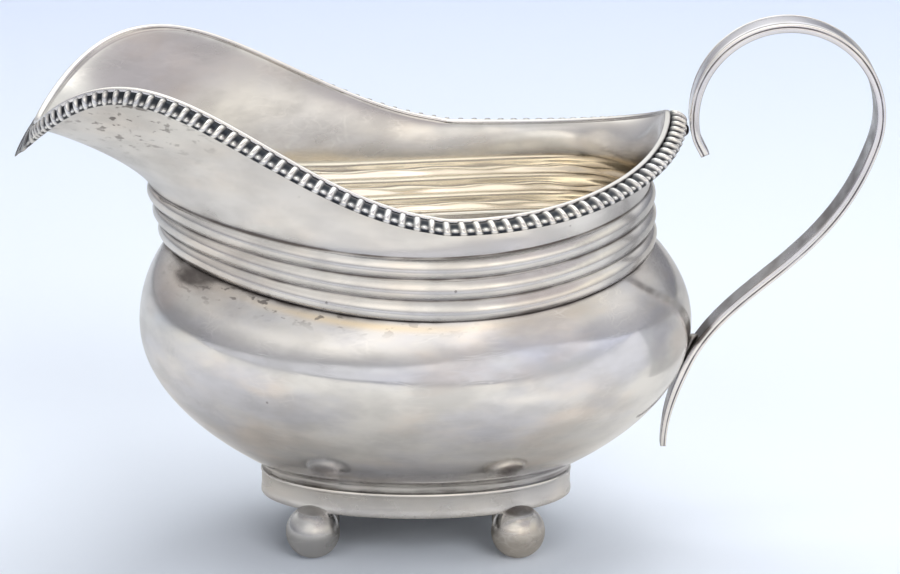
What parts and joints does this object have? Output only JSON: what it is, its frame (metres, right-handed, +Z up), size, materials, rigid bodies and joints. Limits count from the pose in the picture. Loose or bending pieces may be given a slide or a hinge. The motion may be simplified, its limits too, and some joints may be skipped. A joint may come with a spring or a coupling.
{
  "type": "cream jug",
  "caption": "Oval footed cream jug with a bulging bowl, reeded girdle, gadrooned wavy rim, drooping spout, looped strap handle and collet ring on ball feet.",
  "frame": {"origin": "on the table, under the middle of the jug's whole box", "axes": "+X towards the handle, -X towards the spout, +Y across the jug, +Z up; the jug is the same on both sides of the XZ plane"},
  "size_m": [0.1426, 0.0688, 0.0888],
  "materials": {
    "worn_silver": "worn polished silver with fine scratches and a little brown tarnish",
    "neck_silver": "worn polished silver, gilt inside around the reeds",
    "border_silver": "polished lobes with dark oxide in the hollows",
    "handle_silver": "polished silver with lengthwise wear",
    "foot_silver": "polished silver, dull and scratched by use",
    "solder_silver": "rough grey solder"
  },
  "bodies": {
    "root": {"lower_body": "worn_silver", "upper_body": "neck_silver", "collet_ring": "worn_silver", "rim_lip": "neck_silver", "gadroon_left": "border_silver", "gadroon_right": "border_silver", "handle_strap": "handle_silver", "handle_solder_upper": "solder_silver", "handle_solder_lower": "solder_silver", "foot_ball_rear_left": "foot_silver", "foot_bracket_rear_left": "foot_silver", "foot_ball_rear_right": "foot_silver", "foot_bracket_rear_right": "foot_silver", "foot_ball_front_left": "foot_silver", "foot_bracket_front_left": "foot_silver", "foot_ball_front_right": "foot_silver", "foot_bracket_front_right": "foot_silver"}
  },
  "joints": []
}
